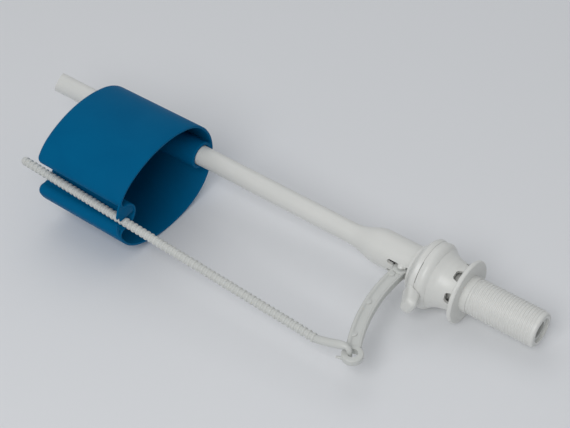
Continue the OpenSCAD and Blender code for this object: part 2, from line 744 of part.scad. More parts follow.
// Points round the float's outline, moved inwards: arcs, each tangent to the next, with the groove in the front one
function outline_points(inset) = concat(
    arc_points([back_cx, 0], back_r - inset, back_turn, 360 - back_turn, 32),
    arc_points([side_cx, side_cy], side_r - inset, -back_turn, -front_turn, 8),
    arc_points([front_cx, 0], front_r - inset, -front_turn, low_turn, 12),
    arc_points(low_lip, lip_r - inset, low_turn, low_aim, 7),
    arc_points([groove_x, groove_y], groove_r + inset, low_aim + 180, high_aim + 180, 14),
    arc_points(high_lip, lip_r - inset, high_aim, high_turn, 7),
    arc_points([front_cx, 0], front_r - inset, high_turn, front_turn, 10),
    arc_points([side_cx, -side_cy], side_r - inset, front_turn, back_turn, 8));
function outline_ring(inset, z) = [for (p = outline_points(inset)) [p[0], p[1], z]];

// Walls and lid of the cup: up the inside, round the rim, and out over the rounded edge of the closed end
module cup_shell() {
    steps = 4;
    loft(concat(
        [outline_ring(float_wall, float_top - lid_t), outline_ring(float_wall, float_z), outline_ring(0, float_z)],
        [for (i = [0 : steps]) let (a = 90 * i / steps)
            outline_ring(float_draft + float_round * (1 - cos(a)), shell_top + float_round * sin(a))]));
}

// Sleeve that slides on the riser, with a web to the float's back
module cup_sleeve() {
    web_x = -float_back + 0.8 * float_wall;
    sleeve_h = float_h - lid_t / 2 - 0.5;
    translate([0, 0, float_z + 0.5]) {
        cylinder(r = sleeve_r, h = sleeve_h);
        translate([web_x, -sleeve_r / 2, 0]) cube([-web_x, sleeve_r, sleeve_h]);
    }
}

// Clip that reaches between two rings of the rod: a notched plate across the groove and a strap round its front
module clip_plate() {
    notch_half = root_r + level_travel * tan(rod_lean) + 0.2;
    notch_high = root_r + 0.25;
    notch_out = rod_x_at_clip + notch_half;
    plate_r = front_r - 0.25;
    mouth_low = 2.6;
    mouth_high = mouth_low + mouth_h;
    lip_top = front_r * sin(high_turn);
    translate([0, 0, clip_z]) linear_extrude(height = clip_t) {
        difference() {
            intersection() {
                translate([front_cx, 0]) circle(r = plate_r);
                polygon([[groove_x - groove_r - 2, notch_high], [notch_out, notch_high], [notch_out, mouth_high],
                         [float_front - 1.6, mouth_high], [float_front + 1, mouth_high + 4],
                         [float_front + 1, lip_top], [groove_x - groove_r - 2, lip_top]]);
            }
            polygon(outline_points(float_wall * 0.7));
        }
        polygon(concat(
            arc_points([front_cx, 0], plate_r, low_turn + 2.4, asin(mouth_low / plate_r), 12),
            arc_points([front_cx, 0], plate_r - strap_w, asin(mouth_low / plate_r), low_turn + 2.4, 12)));
    }
}

valve_body();
inlet_filter();
flow_restrictor();
diaphragm();
diaphragm_plate();
pilot_cap();
cap_seal();
riser();
lock_ring();
pivot_pin();
lever_arm();
pilot_seal();
ratchet_rod();
float_cup();
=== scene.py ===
"""Looks of a bottom inlet float valve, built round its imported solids.

Every piece is drawn in the head's own frame, in millimetres: +X towards the float rod, +Y towards the
camera's side, +Z up the riser. The function row_point() turns a point into the part's frame, in metres.
"""
import logging
import math
from dataclasses import dataclass, field
from enum import Enum
from functools import partial
from typing import Dict, Iterable, List, Sequence, Tuple

import bmesh
import bpy
from mathutils import Matrix, Vector

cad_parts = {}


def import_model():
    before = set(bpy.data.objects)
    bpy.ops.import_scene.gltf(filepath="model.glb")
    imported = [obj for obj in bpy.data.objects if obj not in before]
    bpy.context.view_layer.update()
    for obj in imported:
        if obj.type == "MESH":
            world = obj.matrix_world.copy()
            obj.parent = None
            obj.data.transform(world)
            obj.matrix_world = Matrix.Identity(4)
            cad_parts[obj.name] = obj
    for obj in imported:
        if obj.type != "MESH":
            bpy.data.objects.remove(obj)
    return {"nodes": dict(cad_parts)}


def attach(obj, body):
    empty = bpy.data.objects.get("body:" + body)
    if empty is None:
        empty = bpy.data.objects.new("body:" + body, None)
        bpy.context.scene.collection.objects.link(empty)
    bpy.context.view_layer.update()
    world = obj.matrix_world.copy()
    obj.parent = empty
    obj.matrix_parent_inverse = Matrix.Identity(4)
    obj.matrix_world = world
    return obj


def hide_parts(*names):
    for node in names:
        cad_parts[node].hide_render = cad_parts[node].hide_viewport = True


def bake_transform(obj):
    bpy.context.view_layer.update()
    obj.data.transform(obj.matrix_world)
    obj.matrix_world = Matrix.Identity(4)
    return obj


logging.basicConfig(level=logging.INFO, format="%(message)s")
LOG = logging.getLogger("float_valve")

Point = Tuple[float, float, float]
Flat = Tuple[float, float]
Verts = Sequence[bmesh.types.BMVert]
MM = 0.001


class Slot(Enum):
    """Material slots of the part's record."""

    WHITE = "white_plastic"
    MILKY = "milky_plastic"
    BLUE = "blue_plastic"
    RUBBER = "dark_rubber"


def row_point(x: float, y: float, z: float) -> Vector:
    """Turn a drawing point into the part's frame.

    Args:
        x: Millimetres towards the float rod.
        y: Millimetres towards the camera's side.
        z: Millimetres up the riser.

    Returns:
        The point in metres.
    """
    return Vector((y * MM, -x * MM, z * MM))


def smoothstep(t: float) -> float:
    """Ease a share from 0 to 1."""
    return t * t * (3 - 2 * t)


def turns(n: int) -> List[float]:
    """List n even directions round a circle, in radians."""
    return [2 * math.pi * i / n for i in range(n)]


def circle(r: float, z: float, cx: float = 0.0, n: int = 96) -> List[Point]:
    """List the points of a level circle.

    Args:
        r: Radius in millimetres.
        z: Height in millimetres.
        cx: Offset of its centre towards the rod.
        n: Number of points.

    Returns:
        The points, anticlockwise seen from above.
    """
    return [(cx + r * math.cos(a), r * math.sin(a), z) for a in turns(n)]


def add_object(name: str, data: bpy.types.ID) -> bpy.types.Object:
    """Make an object for a mesh, lamp or camera and link it to the scene.

    Args:
        name: Name of the object.
        data: Its mesh, lamp or camera.

    Returns:
        The new object.
    """
    obj = bpy.data.objects.new(name, data)
    bpy.context.scene.collection.objects.link(obj)
    return obj


class MeshDraft:
    """Collects vertices and faces of a piece in drawing millimetres."""

    def __init__(self) -> None:
        """Start an empty draft."""
        self.bm = bmesh.new()

    def ring(self, points: Iterable[Point]) -> List[bmesh.types.BMVert]:
        """Add the points as vertices.

        Args:
            points: Drawing points in order.

        Returns:
            The new vertices.
        """
        return [self.bm.verts.new(row_point(*p)) for p in points]

    def bridge(self, lower: Verts, upper: Verts) -> None:
        """Join two loops of vertices with quads.

        Args:
            lower: First loop.
            upper: Second loop, with as many vertices.
        """
        for i in range(len(lower)):
            j = (i + 1) % len(lower)
            self.bm.faces.new((lower[i], lower[j], upper[j], upper[i]))

    def skin(self, rings: Sequence[Sequence[Point]], capped: bool = False,
             closed_path: bool = False) -> List[Verts]:
        """Skin a stack of rings.

        Args:
            rings: Loops of points with equal counts.
            capped: Close the first and the last ring with a face each.
            closed_path: Join the last ring to the first.

        Returns:
            The rings of vertices.
        """
        rows = [self.ring(points) for points in rings]
        for a, b in zip(rows, rows[1:]):
            self.bridge(a, b)
        if closed_path:
            self.bridge(rows[-1], rows[0])
        if capped:
            self.bm.faces.new(list(reversed(rows[0])))
            self.bm.faces.new(rows[-1])
        return rows

    def revolve(self, profile: Sequence[Flat], n: int = 96, cx: float = 0.0) -> None:
        """Turn a closed half section about the riser's axis.

        Args:
            profile: Points (radius, height) in order.
            n: Number of segments.
            cx: Offset of the axis towards the rod.
        """
        self.skin([circle(r, z, cx, n) for r, z in profile], closed_path=True)

    def prism(self, outline: Sequence[Flat], low: float, high: float) -> None:
        """Raise a level outline to a closed prism.

        Args:
            outline: Points (x, y) in order.
            low: Lower height.
            high: Upper height.
        """
        self.skin([[(x, y, z) for x, y in outline] for z in (low, high)], capped=True)

    def fill_between(self, outer: Verts, inner: Verts) -> None:
        """Fill a level face between an outer loop and a hole.

        Args:
            outer: Outer loop of vertices.
            inner: Loop round the hole.
        """
        edges = []
        for loop in (outer, inner):
            for i, v in enumerate(loop):
                w = loop[(i + 1) % len(loop)]
                edges.append(self.bm.edges.get((v, w)) or self.bm.edges.new((v, w)))
        bmesh.ops.triangle_fill(self.bm, use_beauty=True, use_dissolve=False, edges=edges)

    def to_object(self, name: str, smooth_deg: float = 35.0) -> bpy.types.Object:
        """Make the Blender object, with its faces turned outwards.

        Args:
            name: Name of the piece.
            smooth_deg: Edges sharper than this stay sharp.

        Returns:
            The new object, linked to the scene.
        """
        bmesh.ops.remove_doubles(self.bm, verts=self.bm.verts, dist=1e-7)
        bmesh.ops.recalc_face_normals(self.bm, faces=self.bm.faces)
        if self.bm.calc_volume(signed=True) < 0:
            bmesh.ops.reverse_faces(self.bm, faces=self.bm.faces)
        mesh = bpy.data.meshes.new(name)
        self.bm.to_mesh(mesh)
        self.bm.free()
        obj = add_object(name, mesh)
        smooth(obj, smooth_deg)
        return obj


def solid(name: str, rings: Sequence[Sequence[Point]], smooth_deg: float = 35.0) -> bpy.types.Object:
    """Skin a stack of rings to a closed piece.

    Args:
        name: Name of the piece.
        rings: Loops of points with equal counts.
        smooth_deg: Edges sharper than this stay sharp.

    Returns:
        The new object.
    """
    draft = MeshDraft()
    draft.skin(rings, capped=True)
    return draft.to_object(name, smooth_deg)


def smooth(obj: bpy.types.Object, degrees: float) -> None:
    """Shade a piece smooth, with sharp edges above an angle.

    Args:
        obj: The piece.
        degrees: Edges sharper than this stay sharp.
    """
    bm = bmesh.new()
    bm.from_mesh(obj.data)
    limit = math.radians(degrees)
    for face in bm.faces:
        face.smooth = True
    for edge in bm.edges:
        edge.smooth = edge.is_manifold and edge.calc_face_angle(0.0) < limit
    bm.to_mesh(obj.data)
    bm.free()


def settle_modifiers(obj: bpy.types.Object) -> None:
    """Turn a piece's modifiers into plain mesh.

    Args:
        obj: The piece.
    """
    graph = bpy.context.evaluated_depsgraph_get()
    mesh = bpy.data.meshes.new_from_object(obj.evaluated_get(graph))
    obj.modifiers.clear()
    old = obj.data
    obj.data = mesh
    bpy.data.meshes.remove(old)


def carve(obj: bpy.types.Object, cutters: Sequence[bpy.types.Object], join: bool = False) -> None:
    """Cut other meshes out of a piece, or join them to it, and remove them.

    Args:
        obj: The piece.
        cutters: Closed meshes.
        join: Unite instead of cutting.
    """
    for cutter in cutters:
        step = obj.modifiers.new("carve", "BOOLEAN")
        step.operation = "UNION" if join else "DIFFERENCE"
        step.solver = "EXACT"
        step.object = cutter
        settle_modifiers(obj)
        bpy.data.objects.remove(cutter)


def round_edges(obj: bpy.types.Object, width: float, degrees: float = 40.0, segments: int = 2) -> None:
    """Round a piece's sharp edges.

    Args:
        obj: The piece.
        width: Width of the rounding in millimetres.
        degrees: Edges sharper than this are rounded.
        segments: Number of strips in the rounding.
    """
    bevel = obj.modifiers.new("round", "BEVEL")
    bevel.width = width * MM
    bevel.segments = segments
    bevel.limit_method = "ANGLE"
    bevel.angle_limit = math.radians(degrees)
    bevel.use_clamp_overlap = True
    settle_modifiers(obj)
    smooth(obj, 50)


def sweep(name: str, path: Sequence[Tuple[Point, float]], n: int) -> bpy.types.Object:
    """Sweep a round section along a bent path, with a rounded end at each side.

    Args:
        name: Name of the piece.
        path: Centre and radius of each section, in drawing millimetres.
        n: Points round the section.

    Returns:
        The new object.
    """
    (start, start_r), (stop, stop_r) = path[0], path[-1]
    lead = (Vector(start) - Vector(path[1][0])).normalized()
    tail = (Vector(stop) - Vector(path[-2][0])).normalized()
    bow = (1.3, 0.9, 0.45)
    stations = [(Vector(start) + lead * start_r * math.sin(a), start_r * math.cos(a)) for a in bow]
    stations += [(Vector(centre), r) for centre, r in path]
    stations += [(Vector(stop) + tail * stop_r * math.sin(a), stop_r * math.cos(a)) for a in reversed(bow)]
    side = Vector((0.3, 1.0, 0.1))
    rings = []
    for i, (centre, r) in enumerate(stations):
        before, after = stations[max(i - 1, 0)][0], stations[min(i + 1, len(stations) - 1)][0]
        along = (after - before).normalized()
        side = (side - along * side.dot(along)).normalized()
        other = along.cross(side)
        rings.append([tuple(centre + side * (r * math.cos(a)) + other * (r * math.sin(a))) for a in turns(n)])
    return solid(name, rings, 60)


def drum(name: str, x: float, z: float, r: float, thick: float, bevel: float,
         n: int = 64) -> bpy.types.Object:
    """Build a cylinder across the head, centred on Y = 0, with rounded edges.

    Args:
        name: Name of the piece.
        x: Place towards the rod.
        z: Height.
        r: Radius.
        thick: Thickness.
        bevel: Width of the rounding.
        n: Number of segments.

    Returns:
        The new object.
    """
    half = thick / 2
    steps = [(r, half)]
    if bevel:
        quarter = [math.pi / 2 * i / 3 for i in range(4)]
        steps = [(r - bevel + bevel * math.sin(a), half - bevel + bevel * math.cos(a)) for a in quarter]
    steps += [(radius, -y) for radius, y in reversed(steps)]
    rings = []
    for radius, y in steps:
        rings.append([(x + radius * math.cos(a), y, z + radius * math.sin(a)) for a in turns(n)])
    return solid(name, rings, 40)


def sector(name: str, section: Sequence[Flat], start: float, end: float, cx: float = 0.0,
           n: int = 24) -> bpy.types.Object:
    """Turn a half section through part of a circle.

    Args:
        name: Name of the piece.
        section: Closed loop of points (radius, height).
        start: First direction in degrees from the rod.
        end: Last direction in degrees.
        cx: Offset of the axis towards the rod.
        n: Number of steps.

    Returns:
        The new object.
    """
    rings = []
    for i in range(n + 1):
        turn = math.radians(start + (end - start) * i / n)
        rings.append([(cx + r * math.cos(turn), r * math.sin(turn), z) for r, z in section])
    return solid(name, rings, 40)


def along_table(table: Sequence[Flat], z: float) -> float:
    """Read a radius from a table of heights and radii.

    Args:
        table: Points (height, radius) with rising heights.
        z: Height.

    Returns:
        The radius between the two nearest points.
    """
    for (z0, r0), (z1, r1) in zip(table, table[1:]):
        if z <= z1:
            return r0 + (r1 - r0) * max(0.0, z - z0) / (z1 - z0)
    return table[-1][1]


def copy_of_node(node: str, name: str) -> bpy.types.Object:
    """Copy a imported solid's mesh as a new piece, with its seams welded.

    Args:
        node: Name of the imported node.
        name: Name of the new piece.

    Returns:
        The new object.
    """
    seam_gap = 2e-6
    obj = add_object(name, FRAME["nodes"][node].data.copy())
    bm = bmesh.new()
    bm.from_mesh(obj.data)
    bmesh.ops.remove_doubles(bm, verts=bm.verts, dist=seam_gap)
    bm.to_mesh(obj.data)
    bm.free()
    if obj.data.has_custom_normals:
        obj.data.attributes.remove(obj.data.attributes["custom_normal"])
    smooth(obj, 28)
    return obj


# Shader groups and finishes


def new_group(name: str, numbers: Dict[str, float], outputs: Sequence[str]) -> bpy.types.ShaderNodeTree:
    """Make an empty shader group with a Vector input, number inputs and number outputs.

    Args:
        name: Name of the group.
        numbers: Name and default of each number input.
        outputs: Name of each output.

    Returns:
        The node tree, with its input and output nodes named In and Out.
    """
    tree = bpy.data.node_groups.new(name, "ShaderNodeTree")
    tree.interface.new_socket("Vector", in_out="INPUT", socket_type="NodeSocketVector")
    for label, default in numbers.items():
        socket = tree.interface.new_socket(label, in_out="INPUT", socket_type="NodeSocketFloat")
        socket.default_value = default
    for label in outputs:
        tree.interface.new_socket(label, in_out="OUTPUT", socket_type="NodeSocketFloat")
    tree.nodes.new("NodeGroupInput").name = "In"
    tree.nodes.new("NodeGroupOutput").name = "Out"
    return tree


def feed(slot: bpy.types.NodeSocket, value: object) -> None:
    """Link an output to a node's input, or set the input to a number.

    Args:
        slot: The input.
        value: A number or an output socket.
    """
    if isinstance(value, bpy.types.NodeSocket):
        slot.id_data.links.new(value, slot)
    else:
        slot.default_value = float(value)


def math_node(tree: bpy.types.NodeTree, operation: str, a: object, b: object = 0.0) -> bpy.types.NodeSocket:
    """Add a math node.

    Args:
        tree: Tree that takes the node.
        operation: Name of the operation.
        a: First value or socket.
        b: Second value or socket.

    Returns:
        The result's socket.
    """
    node = tree.nodes.new("ShaderNodeMath")
    node.operation = operation
    feed(node.inputs[0], a)
    feed(node.inputs[1], b)
    return node.outputs[0]


def noise_node(tree: bpy.types.NodeTree, vector: object, scale: object, detail: float,
               distortion: float = 0.0) -> bpy.types.NodeSocket:
    """Add a noise texture.

    Args:
        tree: Tree that takes the node.
        vector: Socket with the coordinates.
        scale: Scale, a number or a socket.
        detail: Octaves of the noise.
        distortion: How far the noise is warped.

    Returns:
        The noise's factor socket.
    """
    node = tree.nodes.new("ShaderNodeTexNoise")
    for label, value in zip(("Vector", "Scale", "Detail", "Distortion"), (vector, scale, detail, distortion)):
        feed(node.inputs[label], value)
    return node.outputs["Fac"]


def moulded_surface_group() -> bpy.types.ShaderNodeTree:
    """Build the group for the skin of a moulded piece: grain, soft waviness and cloudy shade.

    Returns:
        The group, with outputs Height, Cloud and Matt.
    """
    tree = new_group("Moulded surface", {"Grain Scale": 1400.0, "Cloud Scale": 60.0, "Wave": 0.5},
                     ("Height", "Cloud", "Matt"))
    given, out = tree.nodes["In"].outputs, tree.nodes["Out"].inputs
    grain = noise_node(tree, given["Vector"], given["Grain Scale"], 4.0)
    wave = noise_node(tree, given["Vector"], given["Cloud Scale"], 2.0)
    cloud = noise_node(tree, given["Vector"], given["Cloud Scale"], 3.0, 0.4)
    feed(out["Height"], math_node(tree, "ADD", grain, math_node(tree, "MULTIPLY", wave, given["Wave"])))
    feed(out["Cloud"], cloud)
    feed(out["Matt"], math_node(tree, "MULTIPLY", grain, cloud))
    return tree


def handling_group() -> bpy.types.ShaderNodeTree:
    """Build the group for the marks of handling: sparse fine scratches and rubbed patches.

    Returns:
        The group, with outputs Scratch and Rub.
    """
    fineness, patch_scale, patch_limit, rub_scale = 55.0, 45.0, 0.58, 25.0
    tree = new_group("Handling marks", {"Scratch Scale": 90.0, "Amount": 0.5}, ("Scratch", "Rub"))
    given, out = tree.nodes["In"].outputs, tree.nodes["Out"].inputs
    times, minus = partial(math_node, tree, "MULTIPLY"), partial(math_node, tree, "SUBTRACT")
    stretch = tree.nodes.new("ShaderNodeMapping")
    stretch.inputs["Rotation"].default_value = (0.4, 0.9, 0.3)
    stretch.inputs["Scale"].default_value = (1.0, 9.0, 1.3)
    feed(stretch.inputs["Vector"], given["Vector"])
    lines = noise_node(tree, stretch.outputs["Vector"], given["Scratch Scale"], 3.0, 0.6)
    thin = minus(1.0, times(math_node(tree, "ABSOLUTE", minus(lines, 0.5)), fineness))
    where = noise_node(tree, given["Vector"], patch_scale, 1.0)
    sparse = math_node(tree, "GREATER_THAN", where, patch_limit)
    scratch = times(math_node(tree, "MAXIMUM", thin, 0.0), sparse)
    feed(out["Scratch"], times(scratch, given["Amount"]))
    rub = noise_node(tree, given["Vector"], rub_scale, 5.0, 0.8)
    feed(out["Rub"], times(rub, given["Amount"]))
    return tree


@dataclass(frozen=True)
class Moulding:
    """Finish of a moulded piece."""

    name: str
    slot: Slot
    colour: Tuple[float, float, float]
    shade: Tuple[float, float, float]
    roughness: float = 0.34
    rough_spread: float = 0.1
    grain_scale: float = 1500.0
    grain_depth: float = 0.04
    cloud_scale: float = 70.0
    wave: float = 0.6
    handling: float = 0.4
    glow: float = 0.0
    shine: float = 0.5
    scratch_matt: float = 0.2
    scratch_depth: float = 0.6
    relief: float = 0.35

    def build(self) -> bpy.types.Material:
        """Build the finish's material, or find it if it is there.

        Returns:
            The material.
        """
        made = bpy.data.materials.get(self.name)
        if made:
            return made
        mat = bpy.data.materials.new(self.name)
        mat.use_nodes = True
        tree = mat.node_tree
        shader = tree.nodes["Principled BSDF"].inputs
        where = tree.nodes.new("ShaderNodeTexCoord").outputs["Object"]
        grain = {"Grain Scale": self.grain_scale, "Cloud Scale": self.cloud_scale, "Wave": self.wave}
        skin = self.group(tree, "skin", where, grain)
        marks = self.group(tree, "marks", where, {"Amount": self.handling})
        mix = tree.nodes.new("ShaderNodeMix")
        mix.data_type = "RGBA"
        factor, first, second, result = mix.inputs[0], mix.inputs[6], mix.inputs[7], mix.outputs[2]
        first.default_value = (*self.colour, 1)
        second.default_value = (*self.shade, 1)
        feed(factor, skin["Cloud"])
        feed(shader["Base Color"], result)
        times, plus = partial(math_node, tree, "MULTIPLY"), partial(math_node, tree, "ADD")
        worn = plus(times(marks["Rub"], self.rough_spread), self.roughness)
        rough = plus(times(skin["Matt"], self.rough_spread), worn)
        feed(shader["Roughness"], plus(rough, times(marks["Scratch"], self.scratch_matt)))
        bump = tree.nodes.new("ShaderNodeBump")
        bump.inputs["Strength"].default_value = self.relief
        bump.inputs["Distance"].default_value = self.grain_depth * MM
        cut = times(marks["Scratch"], self.scratch_depth)
        feed(bump.inputs["Height"], math_node(tree, "SUBTRACT", skin["Height"], cut))
        feed(shader["Normal"], bump.outputs["Normal"])
        shader["Specular IOR Level"].default_value = self.shine
        if self.glow:
            shader["Subsurface Weight"].default_value = self.glow
            shader["Subsurface Radius"].default_value = (1.0, 0.9, 0.8)
            shader["Subsurface Scale"].default_value = 2 * MM
        return mat

    def group(self, tree: bpy.types.NodeTree, kind: str, where: bpy.types.NodeSocket,
              values: Dict[str, float]) -> bpy.types.NodeOutputs:
        """Place a shared group in the material.

        Args:
            tree: The material's tree.
            kind: Key of the group.
            where: Socket with the coordinates.
            values: Values of the group's inputs.

        Returns:
            The group's outputs.
        """
        node = tree.nodes.new("ShaderNodeGroup")
        node.node_tree = GROUPS[kind]
        feed(node.inputs["Vector"], where)
        for label, value in values.items():
            feed(node.inputs[label], value)
        return node.outputs

    def dress(self, obj: bpy.types.Object) -> None:
        """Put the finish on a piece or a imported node.

        Args:
            obj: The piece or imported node.
        """
        mat = self.build()
        if obj.name not in FRAME["nodes"]:
            obj.data.materials.clear()
        if not obj.material_slots:
            obj.data.materials.append(mat)
        for place in obj.material_slots:
            place.material = mat


WHITE = Moulding("White moulding", Slot.WHITE, (0.68, 0.68, 0.655), (0.635, 0.64, 0.615), roughness=0.3,
                 glow=0.06)
MILKY = Moulding("Milky moulding", Slot.MILKY, (0.57, 0.58, 0.56), (0.52, 0.53, 0.51), roughness=0.3,
                 glow=0.12, handling=0.5)
BLUE = Moulding("Blue moulding", Slot.BLUE, (0.0, 0.112, 0.25), (0.0, 0.09, 0.213), roughness=0.46,
                shine=0.03, cloud_scale=45.0, handling=0.7)
RUBBER = Moulding("Dark rubber", Slot.RUBBER, (0.03, 0.03, 0.033), (0.045, 0.045, 0.048), roughness=0.6,
                  grain_depth=0.08)


def install(piece: bpy.types.Object, body: str, finish: Moulding, replaces: Sequence[str] = ()) -> None:
    """Dress a piece and tie it to the frame.

    Args:
        piece: The new piece.
        body: Body that carries it.
        finish: Its finish.
        replaces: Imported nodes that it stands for.
    """
    finish.dress(piece)
    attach(piece, body)
    if replaces:
        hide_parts(*replaces)


# Pieces


@dataclass
class ValveBody:
    """Body with its tail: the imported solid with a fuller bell, and a thread in place of the plain tail."""

    tail_r: float = 10.4775
    root_r: float = 9.98
    core_r: float = 9.0
    pitch: float = 1.814
    tail_low: float = -45.0
    thread_high: float = -4.2
    under_flange: float = 0.4
    crest_gap: float = 0.02
    plain_r: float = 10.0
    end_round: float = 1.3
    around: int = 72
    rows_per_turn: int = 12
    cage_r: float = 13.7
    cage_top: float = 10.0
    bell_r: float = 19.3
    bell_top: float = 21.8
    band_top: float = 23.8
    outside_depth: float = 0.3
    skin: Tuple[Flat, ...] = (
        (7.6, 13.7), (8.4, 13.9), (9.2, 14.05), (10, 14.2), (11, 14.42), (12, 14.7), (13, 14.98), (14, 15.38),
        (15, 15.87), (16, 16.44), (16.6, 16.8), (17.0, 17.04), (17.2, 17.14), (17.4, 17.34), (17.7, 17.68),
        (18.2, 18.18), (18.8, 18.7), (19.4, 19.1), (20, 19.38), (20.6, 19.52), (21.2, 19.56), (21.8, 19.49),
        (22.4, 19.38), (23, 19.29), (23.5, 19.2), (23.8, 19.05))
    seam_r: Flat = (18.4, 19.8)
    seam_top: float = 23.9
    crease: Tuple[Flat, ...] = ((16.98, 17.2), (18.2, 17.2), (18.2, 17.36), (16.98, 17.3))

    def packed_radius(self, z: float) -> float:
        """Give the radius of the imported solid's outside at a height in millimetres."""
        if z < self.cage_top:
            return self.cage_r
        if z < self.bell_top:
            share = (z - self.cage_top) / (self.bell_top - self.cage_top)
            return self.cage_r + (self.bell_r - self.cage_r) * smoothstep(share)
        return self.bell_r - 0.25 * (z - self.bell_top) / (self.band_top - self.bell_top)

    def fill_out(self, shell: bpy.types.Object) -> None:
        """Bring the outside of the cage and the bell to the moulding's fuller profile.

        Args:
            shell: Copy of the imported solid.
        """
        bm = bmesh.new()
        bm.from_mesh(shell.data)
        first, last = self.skin[0][0], self.skin[-1][0]
        levels = [z for z, _ in self.skin[:-1]] + [first + 0.4 + 0.8 * i for i in range(12)]
        for z in sorted(set(levels)):
            parts = bm.verts[:] + bm.edges[:] + bm.faces[:]
            bmesh.ops.bisect_plane(bm, geom=parts, plane_co=(0, 0, z * MM), plane_no=(0, 0, 1))
        for v in bm.verts:
            z, r = v.co.z / MM, math.hypot(v.co.x, v.co.y) / MM
            if first <= z <= last + 0.01 and r > self.packed_radius(z) - self.outside_depth:
                share = (r + along_table(self.skin, z) - self.packed_radius(z)) / r
                v.co.x *= share
                v.co.y *= share
        bm.to_mesh(shell.data)
        bm.free()

    def rim_cut(self, name: str, low: float, start: float, end: float, n: int) -> bpy.types.Object:
        """Build a cutter for a groove in the bell's rim.

        Args:
            name: Name of the cutter.
            low: Lower height of the groove.
            start: First direction in degrees from the rod.
            end: Last direction in degrees.
            n: Number of steps.

        Returns:
            The cutter.
        """
        (inner, outer), top = self.seam_r, self.seam_top
        return sector(name, [(inner, low), (outer, low), (outer, top), (inner, top)], start, end, 0.0, n)

    def build(self) -> None:
        """Build the shell and the thread."""
        shell = copy_of_node("valve_body", "body_shell")
        self.fill_out(shell)
        carve(shell, [self.rim_cut("seam_cut", 23.42, 25, 61, 24), self.rim_cut("stop_cut", 23.1, 24, 27, 4),
                      sector("crease_cut", self.crease, 68, 112), sector("crease_cut", self.crease, -12, 22)])
        low, high, clear_r = self.tail_low - 1, self.thread_high + self.under_flange, 12
        cutter = MeshDraft()
        cutter.revolve([(self.core_r, low), (clear_r, low), (clear_r, high), (self.core_r, high)], 128)
        carve(shell, [cutter.to_object("tail_cutter")])
        smooth(shell, 22)
        install(shell, "valve", WHITE, ["valve_body"])
        install(self.thread(), "valve", WHITE)

    def thread(self) -> bpy.types.Object:
        """Build the helical thread as a sleeve round the tail's core.

        Returns:
            The sleeve.
        """
        low, high = self.tail_low, self.thread_high + self.under_flange
        count = int((high - low) / self.pitch * self.rows_per_turn) + 1
        rings = []
        for k in range(count + 1):
            z = low + (high - low) * k / count
            rings.append([])
            for i, turn in enumerate(turns(self.around)):
                r = self.radius(((z - low) / self.pitch - i / self.around) % 1.0, z)
                rings[-1].append((r * math.cos(turn), r * math.sin(turn), z))
        rings += [circle(self.core_r - 0.05, z, 0, self.around) for z in (high, low)]
        draft = MeshDraft()
        draft.skin(rings, closed_path=True)
        return draft.to_object("tail_thread", 60)

    def radius(self, phase: float, z: float) -> float:
        """Give the thread's radius.

        Args:
            phase: Share of the pitch, 0 to 1.
            z: Height in millimetres.

        Returns:
            The radius in millimetres, with rounded crests and roots, faded at both ends.
        """
        root_share, flank_share, lead_from, lead_run, fade_run = 0.14, 0.72, 1.2, 2.2, 1.6
        wave = 0.5 - 0.5 * math.cos(2 * math.pi * phase)
        shaped = smoothstep(min(1.0, max(0.0, (wave - root_share) / flank_share)))
        up = z - self.tail_low
        lead = smoothstep(min(1.0, max(0.0, (up - lead_from) / lead_run)))
        fade = smoothstep(min(1.0, max(0.0, (self.thread_high - z) / fade_run))) * lead
        depth = self.tail_r - self.crest_gap - self.root_r
        r = self.plain_r + (self.root_r + depth * shaped - self.plain_r) * fade
        if up < self.end_round:
            r -= self.end_round - math.sqrt(self.end_round ** 2 - (self.end_round - up) ** 2)
        return r


